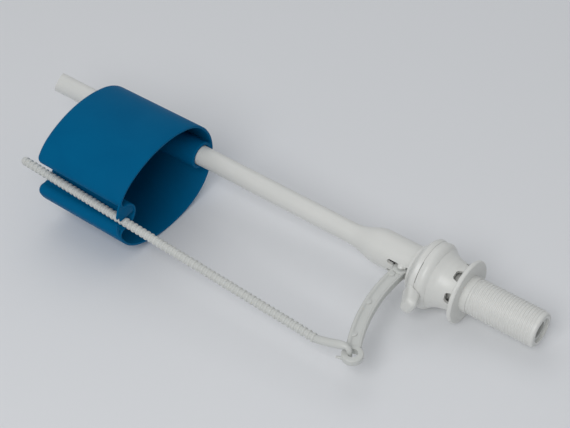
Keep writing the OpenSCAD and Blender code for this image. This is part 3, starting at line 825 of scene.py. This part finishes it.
@dataclass
class FloatCup:
    """Blue cup: a rounded shell with a groove for the rod and a sleeve on the riser."""

    back_cx: float = 21.0
    back_r: float = 31.0
    front_cx: float = 47.0
    front_r: float = 28.5
    side_r: float = 63.5
    groove: Flat = (67.6, 2.8)
    groove_r: float = 7.0
    lip_r: float = 4.5
    wall: float = 1.5
    low: float = 183.087
    height: float = 64.0
    draft: float = 0.5
    rounding: float = 3.0
    lid: float = 2.0
    sleeve_r: float = 8.45
    bore_r: float = 6.35
    rim_h: float = 0.4
    web_x: Flat = (-9.4, -6.9)
    web_t: float = 8.4
    arcs: List[Tuple[float, float, float, float, float, int, int]] = field(default_factory=list)

    def __post_init__(self) -> None:
        """Work out the outline: the arcs of the walls, and the groove between its two lips."""
        between = self.front_cx - self.back_cx
        a, b = self.side_r - self.back_r, self.side_r - self.front_r
        side_cx = self.back_cx + (between ** 2 + a ** 2 - b ** 2) / (2 * between)
        side_cy = math.sqrt(a ** 2 - (side_cx - self.back_cx) ** 2)
        back = math.atan2(side_cy, self.back_cx - side_cx)
        front = math.atan2(side_cy, self.front_cx - side_cx)
        (gx, gy), lr = self.groove, self.lip_r
        reach = self.front_r - lr
        far = math.hypot(gx - self.front_cx, gy)
        aim = math.atan2(gy, gx - self.front_cx)
        spread = math.acos((reach ** 2 + far ** 2 - (lr + self.groove_r) ** 2) / (2 * reach * far))
        low_turn, high_turn = aim - spread, aim + spread
        low_lip = (self.front_cx + reach * math.cos(low_turn), reach * math.sin(low_turn))
        high_lip = (self.front_cx + reach * math.cos(high_turn), reach * math.sin(high_turn))
        low_aim = math.atan2(gy - low_lip[1], gx - low_lip[0])
        high_aim = math.atan2(gy - high_lip[1], gx - high_lip[0])
        self.arcs = [
            (self.back_cx, 0, self.back_r, back, 2 * math.pi - back, 1, 90),
            (side_cx, side_cy, self.side_r, -back, -front, 1, 24),
            (self.front_cx, 0, self.front_r, -front, low_turn, 1, 30),
            (*low_lip, lr, low_turn, low_aim, 1, 20),
            (gx, gy, self.groove_r, low_aim + math.pi, high_aim + math.pi, -1, 36),
            (*high_lip, lr, high_aim, high_turn, 1, 20),
            (self.front_cx, 0, self.front_r, high_turn, front, 1, 24),
            (side_cx, -side_cy, self.side_r, front, back, 1, 24)]

    def outline(self, inset: float, z: float) -> List[Point]:
        """List the cup's outline at a height.

        Args:
            inset: How far it is moved into the material.
            z: Height in millimetres.

        Returns:
            The points of the outline.
        """
        points = []
        for cx, cy, r, start, end, sign, n in self.arcs:
            radius = max(r - sign * inset, 0.02)
            for i in range(n):
                turn = start + (end - start) * i / n
                points.append((cx + radius * math.cos(turn), cy + radius * math.sin(turn), z))
        return points

    def build(self) -> None:
        """Build the shell, the web and the clip."""
        top, rim = self.low + self.height, self.low + self.rim_h
        shoulder, ceiling = top - self.rounding, top - self.lid
        path = [(0.45, self.low), (0.12, self.low + 0.1), (0.0, rim)]
        path += [(self.draft * t, rim + (shoulder - rim) * t) for t in (0.33, 0.66)]
        path += [(self.draft + self.rounding * (1 - math.cos(a)), shoulder + self.rounding * math.sin(a))
                 for a in (math.pi / 2 * i / 8 for i in range(9))]
        draft = MeshDraft()
        rows = draft.skin([self.outline(inset, z) for inset, z in path])
        hole = draft.ring(circle(self.bore_r, top, 0, 64))
        draft.fill_between(rows[-1], hole)
        inner = [(self.wall, ceiling), (self.wall, rim), (self.wall - 0.12, self.low + 0.1),
                 (self.wall - 0.45, self.low)]
        inner_rows = draft.skin([self.outline(inset, z) for inset, z in inner])
        draft.bridge(inner_rows[-1], rows[0])
        mouth = draft.ring(circle(self.sleeve_r, ceiling, 0, 64))
        draft.fill_between(inner_rows[0], mouth)
        foot = [(self.sleeve_r, 0.6), (self.sleeve_r - 0.4, 0.2), (self.bore_r + 0.3, 0.2)]
        foot.append((self.bore_r, 0.6))
        sleeve = [mouth] + [draft.ring(circle(r, self.low + up, 0, 64)) for r, up in foot] + [hole]
        for a, b in zip(sleeve, sleeve[1:]):
            draft.bridge(a, b)
        cup = draft.to_object("float_shell", 32)
        install(cup, "float", BLUE, ["float_cup"])
        self.web()
        self.clip()

    def web(self) -> None:
        """Build the web that ties the sleeve to the back wall."""
        (back, front), half = self.web_x, self.web_t / 2
        outline = [(back, -half), (front, -half), (front, half), (back, half)]
        draft = MeshDraft()
        draft.prism(outline, self.low + 0.3, self.low + self.height - self.lid + 0.1)
        install(draft.to_object("sleeve_web"), "float", BLUE)

    def clip(self) -> None:
        """Build the clip that reaches between two rings of the rod: a plate across the groove and a strap."""
        rod_x, half, depth, thick, bite = 68.61, 3.27, 2.45, 1.0, 0.5
        (gx, gy), out_r, strap_w = self.groove, self.front_r - 0.25, 1.35
        z0 = self.low + 0.3
        mouth_low, mouth_high = 2.6, 5.5

        def arc(cx: float, cy: float, r: float, angles: Iterable[float]) -> List[Flat]:
            """List the points of an arc at some directions in radians."""
            return [(cx + r * math.cos(a), cy + r * math.sin(a)) for a in angles]

        plate = [(gx - self.groove_r - bite, depth), (rod_x + half, depth), (rod_x + half, mouth_high)]
        plate += [(73.6, mouth_high), (74.2, mouth_high + 0.3)]
        bend = [math.asin((mouth_high + 1.6) / out_r)] + [math.radians(a) for a in range(17, 33, 3)]
        plate += arc(self.front_cx, 0.0, out_r, bend)
        lip_x, lip_y, lip_r = self.arcs[5][:3]
        plate += arc(lip_x, lip_y, lip_r - bite, map(math.radians, (10, -15, -40, -65)))
        plate += arc(gx, gy, self.groove_r + bite, map(math.radians, (100, 120, 140, 160)))
        first, last = math.radians(-18.5), math.asin(mouth_low / out_r)
        there = [first + (last - first) * i / 12 for i in range(13)]
        strap = arc(self.front_cx, 0.0, out_r, there)
        strap += arc(self.front_cx, 0.0, out_r - strap_w, reversed(there))
        for name, outline in (("clip_plate", plate), ("clip_strap", strap)):
            draft = MeshDraft()
            draft.prism(outline, z0, z0 + thick)
            piece = draft.to_object(name)
            round_edges(piece, 0.2)
            install(piece, "float", BLUE)


@dataclass
class RatchetRod:
    """Ringed rod with round beads, a bent neck, the hook through the eye and its barb."""

    foot: Point = (74.8, 0.0, 47.1)
    lean: float = math.radians(2.6)
    pitch: float = 3.2
    count: int = 68
    root_r: float = 2.2
    bead_r: float = 2.7
    bead_h: float = 1.86
    around: int = 32
    bead: Tuple[Flat, ...] = ((0.0, 0.0), (0.1, 0.4), (0.26, 0.76), (0.5, 0.96), (0.93, 1.0))
    neck: Tuple[Tuple[Point, float], ...] = (
        ((74.86, 0.0, 46.6), 2.2), ((74.7, 0.5, 44.2), 2.3), ((74.2, 2.2, 38.0), 2.4),
        ((73.7, 4.1, 32.6), 2.4), ((73.45, 4.9, 30.0), 2.15), ((73.4, 5.05, 28.2), 1.75),
        ((73.4, 4.6, 26.9), 1.6),
        ((73.4, 3.4, 26.3), 1.6), ((73.4, 0.0, 26.3), 1.6), ((73.4, -2.4, 26.3), 1.55),
        ((73.5, -3.4, 26.6), 1.4), ((73.9, -3.6, 27.6), 1.2), ((74.6, -3.6, 29.2), 1.05),
        ((75.9, -3.6, 32.4), 0.75))

    def level(self, up: float, r: float) -> List[Point]:
        """List a ring of points square to the rod.

        Args:
            up: Distance from the first ring, along the rod.
            r: Radius in millimetres.

        Returns:
            The points.
        """
        x0, z0 = self.foot[0] - up * math.sin(self.lean), self.foot[2] + up * math.cos(self.lean)
        points = []
        for a in turns(self.around):
            out = r * math.cos(a)
            points.append((x0 + out * math.cos(self.lean), r * math.sin(a), z0 + out * math.sin(self.lean)))
        return points

    def build(self) -> None:
        """Build the rod and its neck."""
        depth = self.bead_r - self.root_r
        bead = list(self.bead) + [(self.bead_h - up, share) for up, share in reversed(self.bead[:-1])]
        rows = [self.level(-1.0, 0.6), self.level(-0.9, self.root_r - 0.2)]
        for k in range(self.count):
            rows += [self.level(k * self.pitch + up, self.root_r + depth * share) for up, share in bead]
        end = self.count * self.pitch
        tip = ((0.6, 0.0), (0.2, 0.25), (0.0, 0.7))
        rows += [self.level(end - back, self.root_r - less) for back, less in tip]
        install(solid("rod_rings", rows, 50), "rod", MILKY, ["ratchet_rod"])
        install(sweep("rod_neck", self.neck, 24), "rod", MILKY)


@dataclass
class LeverArm:
    """Curved arm: a shallow channel between two rims, the hub, the eye, three bosses and the pilot lever."""

    pivot: Flat = (8.0, 38.2)
    eye: Flat = (72.8, 24.7)
    radius: float = 107.0
    width: float = 8.0
    thick: float = 5.0
    web: float = 3.5
    outer_rim: float = 2.2
    inner_rim: float = 1.1
    hub_r: float = 4.4
    eye_r: float = 5.9
    eye_hole: float = 2.9
    eye_thick: float = 4.0
    pin_bore: float = 1.46
    boss_r: float = 1.8
    boss_count: int = 3
    boss_inset: float = math.radians(3.4)
    boss_margin: float = math.radians(8)
    steps: int = 60
    seal_drop: float = 3.6
    lever_w: float = 5.0

    def centre(self) -> Tuple[float, float, float, float]:
        """Find the centre of the arm's arc.

        Returns:
            Its x and z, and the angles of the eye's end and the pivot's end.
        """
        (px, pz), (ex, ez) = self.pivot, self.eye
        chord = math.hypot(ex - px, pz - ez)
        tilt = math.atan2(ez - pz, ex - px)
        depth = math.sqrt(self.radius ** 2 - chord ** 2 / 4)
        cx = (px + ex) / 2 + depth * math.sin(tilt)
        cz = (pz + ez) / 2 - depth * math.cos(tilt)
        return cx, cz, math.atan2(ez - cz, ex - cx) + math.radians(2.4), math.atan2(pz - cz, px - cx)

    def section(self) -> List[Flat]:
        """List the arm's section, with softened corners.

        Returns:
            Points (distance from the arc's centre, y).
        """
        low, high = self.radius - self.width / 2, self.radius + self.width / 2
        full, web = self.thick / 2, self.web / 2
        floor_in, floor_out = low + self.inner_rim, high - self.outer_rim
        outer_edge = [(high, 0.0), (high, full - 0.9), (high - 0.2, full - 0.35), (high - 0.6, full - 0.05),
                      (high - 1.0, full), (floor_out + 0.5, full - 0.04), (floor_out + 0.15, full - 0.2),
                      (floor_out - 0.15, full - 0.45), (floor_out - 0.5, web + 0.08), (floor_out - 0.9, web)]
        inner_edge = [(floor_in + 0.9, web), (floor_in + 0.5, web + 0.08), (floor_in + 0.15, full - 0.45),
                      (floor_in - 0.15, full - 0.2), (floor_in - 0.5, full - 0.04), (low + 0.55, full - 0.05),
                      (low + 0.2, full - 0.3), (low, full - 0.8), (low, 0.0)]
        upper = outer_edge + inner_edge
        return upper + [(r, -y) for r, y in reversed(upper[1:-1])]

    def build(self) -> None:
        """Build the arm and install it."""
        cx, cz, start, end = self.centre()
        rows = []
        for k in range(self.steps + 1):
            turn = start + (end - start) * k / self.steps
            rows.append([(cx + r * math.cos(turn), y, cz + r * math.sin(turn)) for r, y in self.section()])
        arm = solid("arm_body", rows, 42)
        boss_at = self.radius + self.width / 2 - self.outer_rim - self.boss_r / 2 + 0.4
        joins = [drum("hub", *self.pivot, self.hub_r, self.thick, 0.3),
                 drum("eye", *self.eye, self.eye_r, self.eye_thick, 0.7)]
        for i in range(self.boss_count):
            turn = end - self.boss_inset - i * (end - start - self.boss_margin) / (self.boss_count - 1)
            x, z = cx + boss_at * math.cos(turn), cz + boss_at * math.sin(turn)
            joins.append(drum("boss", x, z, self.boss_r, self.thick - 0.3, 0.3, 40))
        carve(arm, joins, join=True)
        carve(arm, [drum("eye_cut", *self.eye, self.eye_hole, self.thick + 2, 0),
                    drum("pin_cut", *self.pivot, self.pin_bore, self.thick + 2, 0)])
        smooth(arm, 42)
        install(arm, "lever", MILKY, ["lever_arm"])
        self.pilot_lever()

    def pilot_lever(self) -> None:
        """Build the short lever inside the bulb that presses the pilot seal."""
        top, half = self.pivot[1], self.lever_w / 2
        seal_z = top - self.seal_drop
        draft = MeshDraft()
        draft.prism([(-1.0, -half), (6.6, -half), (6.6, half), (-1.0, half)], seal_z + 1.45, top)
        draft.revolve([(2.56, seal_z + 1.6), (2.56, seal_z + 0.4), (3.2, seal_z + 0.4), (3.2, top - 0.02),
                       (0.01, top - 0.02), (0.01, seal_z + 1.6)], 48)
        install(draft.to_object("pilot_lever", 40), "lever", MILKY)


@dataclass
class LockRing:
    """Bayonet ring round the riser's foot: a flaring skirt, a dome, a short neck and a soft thumb lug."""

    outside: Tuple[Flat, ...] = (
        (18.95, 23.84), (19.18, 23.98), (19.29, 24.4), (19.42, 25.1), (19.53, 25.7), (19.58, 26.15),
        (19.52, 26.5), (19.34, 26.82), (19.0, 27.2), (18.55, 27.68), (17.9, 28.2), (17.1, 28.75),
        (16.2, 29.25), (15.2, 29.75), (14.35, 30.2), (13.7, 30.7), (13.3, 31.2), (13.1, 31.8),
        (13.08, 32.2), (12.95, 32.46), (12.7, 32.58))
    inside: Tuple[Flat, ...] = ((12.1, 32.58), (11.88, 32.4), (11.85, 28.8), (16.5, 28.74), (18.3, 27.6),
                                (18.3, 23.84))
    lug_root: Tuple[float, ...] = (18.5, -0.38, 24.33, 6.05, 4.54)
    lug_end: Tuple[float, ...] = (24.95, -1.36, 21.67, 6.01, 3.73)
    lug_steps: int = 8
    nose_r: float = 2.67
    nose_tip: Tuple[float, float, float] = (27.64, 3.2, 1.0)
    squareness: float = 3.4
    lug_turn: float = math.radians(24)
    skirt_r: float = 19.8

    def lug_sections(self) -> List[Tuple[float, ...]]:
        """List the lug's sections: a straight taper from the ring, and a rounded nose.

        Returns:
            Sections (x, y and z of the middle, half its width, half its height).
        """
        sections = []
        for share in (k / self.lug_steps for k in range(self.lug_steps + 1)):
            sections.append(tuple(a + (b - a) * share for a, b in zip(self.lug_root, self.lug_end)))
        x, y, z, half_y, half_z = self.lug_end
        for turn in map(math.radians, (20, 40, 60, 75)):
            less = self.nose_r * (1 - math.cos(turn))
            sections.append((x + self.nose_r * math.sin(turn), y, z, half_y - less, half_z - less))
        tip_x, tip_y, tip_z = self.nose_tip
        return sections + [(tip_x, y, z, tip_y, tip_z)]

    def thumb_lug(self) -> bpy.types.Object:
        """Build the thumb lug: a soft tongue whose sections are rounded rectangles.

        Returns:
            The lug, hollowed where the bell's rim passes behind it.
        """
        rings = []
        across, along = math.cos(self.lug_turn), math.sin(self.lug_turn)
        for x, y, z, half_y, half_z in self.lug_sections():
            loop = []
            for turn in turns(56):
                c, q = math.cos(turn), math.sin(turn)
                share = (abs(c) ** self.squareness + abs(q) ** self.squareness) ** (-1 / self.squareness)
                dy, dz = half_y * c * share, half_z * q * share
                loop.append((x, y + dy * across + dz * along, z - dy * along + dz * across))
            rings.append(loop)
        lug = solid("thumb_lug", rings, 50)
        carve(lug, [solid("rim_room", [circle(self.skirt_r, z, 0, 160) for z in (15.0, self.outside[0][1])])])
        return lug

    def build(self) -> None:
        """Build the ring with its lug."""
        draft = MeshDraft()
        draft.revolve(self.outside + self.inside, 160)
        ring = draft.to_object("ring_body", 34)
        carve(ring, [self.thumb_lug()], join=True)
        round_edges(ring, 0.7, 32, 3)
        smooth(ring, 34)
        install(ring, "ring", WHITE, ["lock_ring"])


@dataclass
class PlainNodes:
    """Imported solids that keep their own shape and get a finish, seen or hidden."""

    def build(self) -> None:
        """Dress the nodes."""
        finishes = {"pilot_cap": WHITE, "diaphragm_plate": WHITE, "inlet_filter": MILKY,
                    "flow_restrictor": MILKY, "cap_seal": RUBBER, "pilot_seal": RUBBER}
        for node, finish in finishes.items():
            finish.dress(FRAME["nodes"][node])


@dataclass
class Diaphragm:
    """Rubber diaphragm: a clamped bead, a disc that lifts off the seat, and a curved web between them."""

    bead_r: Flat = (14.25, 16.15)
    bead_z: Flat = (20.2, 22.4)
    disc_r: float = 9.0
    disc_z: Flat = (19.05, 21.7)
    web_t: float = 0.6
    web_z: Flat = (21.0, 19.3)
    web_steps: int = 10
    bleed_x: float = -7.5
    bleed_r: float = 0.8

    def build(self) -> None:
        """Build the three parts of the diaphragm."""
        (inner, outer), (low, high), soft = self.bead_r, self.bead_z, 0.2
        corners = [(inner, low + soft), (inner + soft, low), (outer - soft, low), (outer, low + soft)]
        corners += [(outer, high - soft), (outer - soft, high), (inner + soft, high), (inner, high - soft)]
        bead = MeshDraft()
        bead.revolve(corners)
        install(bead.to_object("diaphragm_bead", 50), "valve", RUBBER)
        (low, high), r = self.disc_z, self.disc_r
        side = [(r - 0.5, low), (r, low + 0.3), (r, high - 0.2), (r - 0.2, high)]
        disc = solid("diaphragm_disc", [circle(radius, z) for radius, z in side], 30)
        hole = [circle(self.bleed_r, z, self.bleed_x, 32) for z in (low - 1, high + 1)]
        carve(disc, [solid("bleed_cut", hole)])
        smooth(disc, 30)
        install(disc, "membrane", RUBBER, ["diaphragm"])
        self.web()

    def web(self) -> None:
        """Build the web: a fixed curved sheet from the bead's inner edge to the disc's rim."""
        (start, end), n = self.web_z, self.web_steps
        first, last = self.bead_r[0] + 0.05, self.disc_r - 0.05
        shares = [i / n for i in range(n + 1)]
        lower = [(first + (last - first) * t, start + (end - start) * smoothstep(t)) for t in shares]
        draft = MeshDraft()
        draft.revolve(lower + [(r, z + self.web_t) for r, z in reversed(lower)])
        piece = draft.to_object("diaphragm_web", 50)
        RUBBER.dress(piece)
        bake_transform(piece)


@dataclass
class RiserTube:
    """Riser with its bulb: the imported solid, with smooth blisters over the ends of the arm's pin."""

    bulb_cx: float = -1.1
    bulb_r: float = 10.4
    pivot: Flat = (8.0, 38.2)
    pin_r: float = 1.4
    ear_in: float = 3.4
    blister: Point = (7.3, 3.6, 38.0)
    blister_r: Point = (2.9, 1.5, 2.5)
    slot_end: Tuple[float, float, float, float] = (3.5, 41.2, 1.2, 1.9)
    ear_band: Flat = (34.6, 41.8)
    ear_r: float = 15.0
    wall: float = 1.4
    fills: Tuple[Tuple[float, float, float, float], ...] = (
        (-12, 12, 42.8, 43.9), (19.4, 42, 36.0, 40.4), (-42, -19.4, 36.0, 40.4))
    pin_l: float = 7.4

    def build(self) -> None:
        """Build the riser and the pin."""
        tube = copy_of_node("riser", "riser_tube")
        inner, (low, high) = self.bulb_r + 0.03, self.ear_band
        ears = MeshDraft()
        ears.revolve([(inner, low), (self.ear_r, low), (self.ear_r, high), (inner, high)], 128, self.bulb_cx)
        carve(tube, [ears.to_object("ear_cut")])
        carve(tube, [self.fill(*patch) for patch in self.fills], join=True)
        carve(tube, [self.slot_cut()])
        carve(tube, [self.cover(1), self.cover(-1)], join=True)
        smooth(tube, 30)
        install(tube, "valve", WHITE, ["riser"])
        install(drum("arm_pin", *self.pivot, self.pin_r, self.pin_l, 0.15), "valve", MILKY, ["pivot_pin"])

    def fill(self, start: float, end: float, low: float, high: float) -> bpy.types.Object:
        """Build a patch of the bulb's wall.

        Args:
            start: First direction in degrees from the rod.
            end: Last direction in degrees.
            low: Lower height.
            high: Upper height.

        Returns:
            The patch.
        """
        inner, outer = self.bulb_r - self.wall, self.bulb_r - 0.02
        section = [(inner, low), (outer, low), (outer, high), (inner, high)]
        return sector("wall_fill", section, start, end, self.bulb_cx)

    def slot_cut(self) -> bpy.types.Object:
        """Build the cutter that runs the camera side's slot down beside the arm.

        Returns:
            The cutter, an oval bar along X.
        """
        y, z, half_y, half_z = self.slot_end
        loop = [(y + half_y * math.cos(a), z + half_z * math.sin(a)) for a in turns(32)]
        return solid("slot_cut", [[(x, q, h) for q, h in loop] for x in (6.0, 11.0)], 40)

    def cover(self, side: int) -> bpy.types.Object:
        """Build the blister that covers one end of the pin.

        Args:
            side: 1 for the camera's side, -1 for the other.

        Returns:
            The blister, flat towards the arm.
        """
        (x, y, z), (rx, ry, rz) = self.blister, self.blister_r
        first, last = math.asin((self.ear_in - y) / ry), math.radians(84)
        rings = []
        for i in range(13):
            turn = first + (last - first) * i / 12
            level, wide, high = side * (y + ry * math.sin(turn)), rx * math.cos(turn), rz * math.cos(turn)
            rings.append([(x + wide * math.cos(a), level, z + high * math.sin(a)) for a in turns(40)])
        return solid("pin_cover", rings, 50)


# Stage, light and camera


@dataclass
class Stage:
    """Table top, soft light and the camera at the photograph's angle."""

    focal_px: float = 1589.92
    image_w: float = 570.0
    middle: Point = (0.0, -0.03, 0.12)
    table_colour: Tuple[float, float, float] = (0.72, 0.73, 0.75)
    world_colour: Tuple[float, float, float] = (0.80, 0.82, 0.84)
    right: Point = (-0.5995, -0.0052, -0.8003)
    down: Point = (0.5632, -0.7132, -0.4173)
    ahead: Point = (-0.5686, -0.7010, 0.4305)
    eye: Point = (518.5, 626.6, -269.8)
    sensor: float = 36.0
    clear_view: Flat = (0.01, 50.0)
    table_half: float = 3.0
    table_foot: Flat = (-18.65, 1.0)
    table_lean: float = math.atan2(14.1, 182.0)

    def build(self) -> None:
        """Build the camera, the table and the light."""
        self.camera()
        self.table()
        self.light()

    def camera(self) -> None:
        """Place the camera."""
        data = bpy.data.cameras.new("view")
        data.sensor_width = self.sensor
        data.lens = self.focal_px / self.image_w * self.sensor
        data.clip_start, data.clip_end = self.clear_view
        cam = add_object("view", data)
        axes = [Vector((v[1], -v[0], v[2])) for v in (self.right, self.down, self.ahead)]
        rows = Matrix((axes[0], -axes[1], -axes[2])).transposed()
        cam.matrix_world = Matrix.Translation(row_point(*self.eye)) @ rows.to_4x4()
        bpy.context.scene.camera = cam

    def table(self) -> None:
        """Lay the table top under the float and the flange, seen from above only."""
        mesh = bpy.data.meshes.new("table")
        size = self.table_half
        along = Vector((-math.sin(self.table_lean), 0, math.cos(self.table_lean)))
        across = Vector((0, 1, 0))
        foot = Vector((self.table_foot[0] * MM, 0, self.table_foot[1] * MM))
        signs = ((-1, -1), (-1, 1), (1, 1), (1, -1))
        corners = [foot + along * (a * size) + across * (b * size) for a, b in signs]
        mesh.from_pydata(corners, [], [(3, 2, 1, 0)])
        obj = add_object("table", mesh)
        mesh.update()
        if mesh.polygons[0].normal.x < 0:
            mesh.flip_normals()
        obj.data.materials.append(self.table_material())

    def table_material(self) -> bpy.types.Material:
        """Build the table's material, clear from its back and to the lamps behind it.

        Returns:
            The material.
        """
        mat = bpy.data.materials.new("Table top")
        mat.use_nodes = True
        tree = mat.node_tree
        shader = tree.nodes["Principled BSDF"]
        shader.inputs["Base Color"].default_value = (*self.table_colour, 1)
        shader.inputs["Roughness"].default_value = 0.7
        clear = tree.nodes.new("ShaderNodeBsdfTransparent")
        mix = tree.nodes.new("ShaderNodeMixShader")
        path = tree.nodes.new("ShaderNodeLightPath")
        behind = tree.nodes.new("ShaderNodeNewGeometry").outputs["Backfacing"]
        unseen = math_node(tree, "MAXIMUM", behind, path.outputs["Is Shadow Ray"])
        for slot, value in zip(mix.inputs, (unseen, shader.outputs[0], clear.outputs[0])):
            feed(slot, value)
        feed(tree.nodes["Material Output"].inputs["Surface"], mix.outputs[0])
        return mat

    def light(self) -> None:
        """Set the world and the soft lamps."""
        world = bpy.data.worlds.new("studio")
        bpy.context.scene.world = world
        world.use_nodes = True
        tree = world.node_tree
        plain, seen = tree.nodes["Background"], tree.nodes.new("ShaderNodeBackground")
        for node, strength in ((plain, 0.5), (seen, 1.0)):
            node.inputs["Color"].default_value = (*self.world_colour, 1)
            node.inputs["Strength"].default_value = strength
        path = tree.nodes.new("ShaderNodeLightPath")
        direct = math_node(tree, "MAXIMUM", path.outputs["Is Camera Ray"], path.outputs["Is Glossy Ray"])
        direct = math_node(tree, "MAXIMUM", direct, path.outputs["Is Transmission Ray"])
        mix = tree.nodes.new("ShaderNodeMixShader")
        for slot, value in zip(mix.inputs, (direct, plain.outputs[0], seen.outputs[0])):
            feed(slot, value)
        feed(tree.nodes["World Output"].inputs["Surface"], mix.outputs[0])
        self.lamp("key", (1.05, -1.0, -0.1), 0.8, 9.5)
        self.lamp("fill", (1.2, 0.5, 0.6), 1.1, 2.5)
        self.lamp("back", (-1.1, 0.6, 0.5), 1.2, 6.0)

    def lamp(self, name: str, place: Point, size: float, power: float) -> None:
        """Add a soft area lamp that faces the object's middle.

        Args:
            name: Name of the lamp.
            place: Its place in metres, in the part's frame.
            size: Its side in metres.
            power: Its power in watts.
        """
        data = bpy.data.lights.new(name, "AREA")
        data.shape = "SQUARE"
        data.size = size
        data.energy = power
        obj = add_object(name, data)
        obj.location = place
        aim = Vector(self.middle) - Vector(place)
        obj.rotation_euler = aim.to_track_quat("-Z", "Y").to_euler()


def main() -> None:
    """Build every piece, then the stage."""
    scene = bpy.context.scene
    scene.view_settings.view_transform = "Standard"
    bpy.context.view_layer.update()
    parts = (Stage(), PlainNodes(), Diaphragm(), RiserTube(), ValveBody(), LockRing(), LeverArm(),
             RatchetRod(), FloatCup())
    for part in parts:
        part.build()
        LOG.info("built %s", type(part).__name__)


if __name__ == "__main__":
    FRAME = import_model()
    GROUPS = {"skin": moulded_surface_group(), "marks": handling_group()}
    main()
